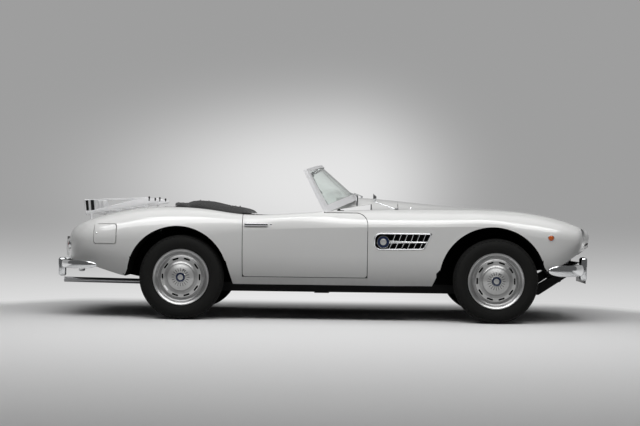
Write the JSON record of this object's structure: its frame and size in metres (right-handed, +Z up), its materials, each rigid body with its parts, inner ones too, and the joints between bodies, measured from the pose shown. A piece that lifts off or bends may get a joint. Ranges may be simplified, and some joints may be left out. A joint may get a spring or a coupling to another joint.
{
  "type": "open roadster car",
  "caption": "Open two-seat roadster with doors, lids, steered front wheels, folded soft top and a luggage rack on its boot lid.",
  "frame": {"origin": "on the ground under the middle of the car's length and width", "axes": "+X towards the nose, +Y to the car's left, +Z up"},
  "size_m": [4.38, 1.658, 1.2531],
  "materials": {
    "white_paint": "gloss white car paint",
    "chassis_black": "satin black chassis paint",
    "bright_trim": "polished chrome",
    "wheel_silver": "silver painted steel with a polished rim",
    "tyre_rubber": "matt black tyre rubber",
    "clear_glass": "clear glass",
    "lamp_glass": "lamp glass with bright rims",
    "steel": "machined steel",
    "cast_alloy": "rough cast alloy",
    "black_canvas": "black hood canvas",
    "seat_leather": "black leather",
    "black_plastic": "black grips and pads"
  },
  "bodies": {
    "body": {"body_front": "white_paint", "body_rear": "white_paint", "bumper_irons": "chassis_black", "chassis_frame": "chassis_black", "controls": "black_plastic", "dashboard": "white_paint", "drive_line": "cast_alloy", "engine_block": "cast_alloy", "exhaust": "chassis_black", "floor_pan": "chassis_black", "front_bumper": "bright_trim", "front_suspension": "chassis_black", "grille": "bright_trim", "hinge_pins": "steel", "lamps": "lamp_glass", "mirrors": "bright_trim", "radiator": "cast_alloy", "rear_axle": "chassis_black", "rear_bumper": "bright_trim", "seats": "seat_leather", "side_vents": "bright_trim", "sills": "white_paint", "soft_top": "black_canvas", "steering_column": "black_plastic", "steering_rack": "steel", "windscreen_frame": "bright_trim", "windscreen_glass": "clear_glass", "wipers": "bright_trim"},
    "wheel_fl": {"tyre_front_left": "tyre_rubber", "wheel_front_left": "wheel_silver"},
    "wheel_fr": {"tyre_front_right": "tyre_rubber", "wheel_front_right": "wheel_silver"},
    "wheel_rl": {"tyre_rear_left": "tyre_rubber", "wheel_rear_left": "wheel_silver"},
    "wheel_rr": {"tyre_rear_right": "tyre_rubber", "wheel_rear_right": "wheel_silver"},
    "knuckle_left": {"knuckle_left": "steel"},
    "knuckle_right": {"knuckle_right": "steel"},
    "track_rod": {"track_rod": "steel"},
    "steering_wheel": {"steering_wheel": "black_plastic"},
    "door_left": {"door_left": "white_paint", "door_handle_left": "bright_trim"},
    "door_right": {"door_right": "white_paint", "door_handle_right": "bright_trim"},
    "bonnet": {"bonnet": "white_paint"},
    "boot_lid": {"boot_lid": "white_paint", "luggage_rack": "bright_trim"},
    "fuel_flap": {"fuel_flap": "white_paint"}
  },
  "joints": [
    {"name": "steer_left", "type": "hinge", "parent": "body", "child": "knuckle_left", "pos_m": [1.375, 0.65, 0.336], "axis": [0, 0, 1], "range_deg": [-28, 28]},
    {"name": "steer_right", "type": "hinge", "parent": "body", "child": "knuckle_right", "pos_m": [1.375, -0.65, 0.336], "axis": [0, 0, 1], "range_deg": [-28, 28]},
    {"name": "track_rod_slide", "type": "slide", "parent": "body", "child": "track_rod", "axis": [0, 1, 0], "range_m": [-0.0636, 0.0636]},
    {"name": "steering_wheel_turn", "type": "hinge", "parent": "body", "child": "steering_wheel", "pos_m": [-0.19, 0.37, 0.665], "axis": [-0.866, 0, 0.5], "range_deg": [-448, 448]},
    {"name": "spin_front_left", "type": "hinge", "parent": "knuckle_left", "child": "wheel_fl", "pos_m": [1.375, 0.7225, 0.336], "axis": [0, 1, 0], "continuous": true},
    {"name": "spin_front_right", "type": "hinge", "parent": "knuckle_right", "child": "wheel_fr", "pos_m": [1.375, -0.7225, 0.336], "axis": [0, 1, 0], "continuous": true},
    {"name": "spin_rear_left", "type": "hinge", "parent": "body", "child": "wheel_rl", "pos_m": [-1.105, 0.7125, 0.336], "axis": [0, 1, 0], "continuous": true},
    {"name": "spin_rear_right", "type": "hinge", "parent": "body", "child": "wheel_rr", "pos_m": [-1.105, -0.7125, 0.336], "axis": [0, 1, 0], "continuous": true},
    {"name": "door_left_swing", "type": "hinge", "parent": "body", "child": "door_left", "pos_m": [0.3635, 0.816, 0.6], "axis": [0, 0, -1], "range_deg": [0, 65]},
    {"name": "door_right_swing", "type": "hinge", "parent": "body", "child": "door_right", "pos_m": [0.3635, -0.816, 0.6], "axis": [0, 0, 1], "range_deg": [0, 65]},
    {"name": "bonnet_lift", "type": "hinge", "parent": "body", "child": "bonnet", "pos_m": [0.6145, 0, 0.9578], "axis": [0, -1, 0], "range_deg": [0, 55]},
    {"name": "boot_lid_lift", "type": "hinge", "parent": "body", "child": "boot_lid", "pos_m": [-1.2975, 0, 0.8931], "axis": [0, 1, 0], "range_deg": [0, 60]},
    {"name": "fuel_flap_swing", "type": "hinge", "parent": "body", "child": "fuel_flap", "pos_m": [-1.617, -0.80535, 0.67], "axis": [0, 0, 1], "range_deg": [0, 95]}
  ],
  "couplings": [
    {"joint": "steer_right", "follows": "steer_left", "ratio": 1},
    {"joint": "track_rod_slide", "follows": "steer_left", "m_per_rad": -0.13},
    {"joint": "steering_wheel_turn", "follows": "steer_left", "ratio": 16}
  ]
}
